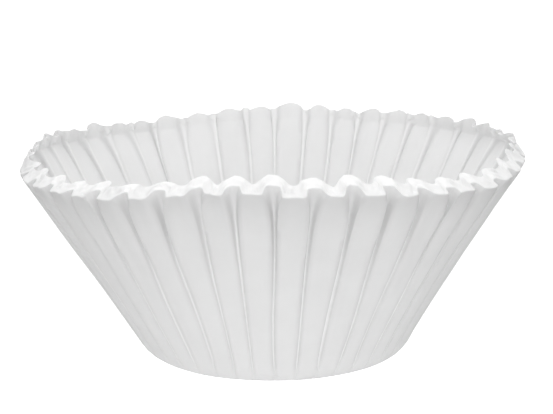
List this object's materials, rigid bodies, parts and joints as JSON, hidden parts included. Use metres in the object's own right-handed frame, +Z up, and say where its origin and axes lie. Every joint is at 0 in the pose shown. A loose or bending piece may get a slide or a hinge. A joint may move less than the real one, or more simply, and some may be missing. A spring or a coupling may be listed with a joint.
{
  "type": "paper coffee filter",
  "caption": "Basket coffee filter: one pressed sheet of white crepe paper with a flat round bottom, a fluted wall that slopes outwards and a narrow turned-in rim.",
  "frame": {"origin": "middle of the flat bottom, on the surface that the filter stands on", "axes": "+Z up along the filter's axis, towards the open rim; +X and +Y lie in the bottom"},
  "size_m": [0.2098, 0.2098, 0.0896],
  "materials": {
    "filter_paper": "bleached white crepe filter paper, matt, with a fine fibre and crepe grain and slightly translucent"
  },
  "bodies": {
    "root": {"filter_sheet": "filter_paper"}
  },
  "joints": []
}
